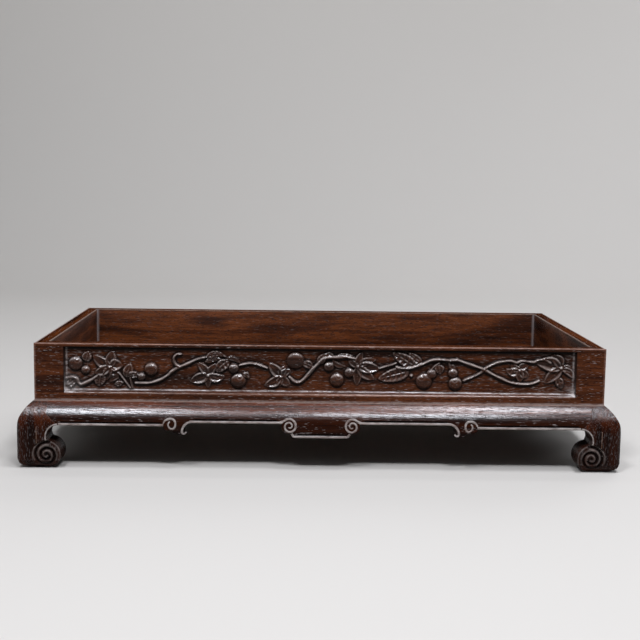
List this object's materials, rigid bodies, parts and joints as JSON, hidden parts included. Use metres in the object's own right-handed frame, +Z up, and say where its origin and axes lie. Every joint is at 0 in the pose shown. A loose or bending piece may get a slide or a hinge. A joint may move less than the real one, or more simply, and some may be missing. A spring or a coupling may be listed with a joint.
{
  "type": "tray stand",
  "caption": "Low hardwood display stand: a shallow mitred tray with a vine carved on its walls, on a bulging apron and inward scroll feet.",
  "frame": {"origin": "on the ground, under the middle of the stand", "axes": "+X along the long side to the viewer's right, +Y from the front to the back, +Z up"},
  "size_m": [0.316, 0.176, 0.065],
  "materials": {
    "wall_wood": "waxed dark hardwood, semi-gloss, carved",
    "base_wood": "waxed dark hardwood, semi-gloss, worn pale on edges",
    "floor_wood": "waxed dark hardwood, satin",
    "key_wood": "bare hardwood, sawn",
    "peg_bamboo": "split bamboo, whittled"
  },
  "bodies": {
    "root": {"front_wall": "wall_wood", "right_wall": "wall_wood", "back_wall": "wall_wood", "left_wall": "wall_wood", "front_left_corner_key": "key_wood", "front_right_corner_key": "key_wood", "back_right_corner_key": "key_wood", "back_left_corner_key": "key_wood", "tray_floor": "floor_wood", "left_floor_batten": "floor_wood", "right_floor_batten": "floor_wood", "front_apron": "base_wood", "right_apron": "base_wood", "back_apron": "base_wood", "left_apron": "base_wood", "front_left_leg": "base_wood", "front_right_leg": "base_wood", "back_right_leg": "base_wood", "back_left_leg": "base_wood", "wall_pegs": "peg_bamboo", "leg_pegs": "peg_bamboo"}
  },
  "joints": []
}
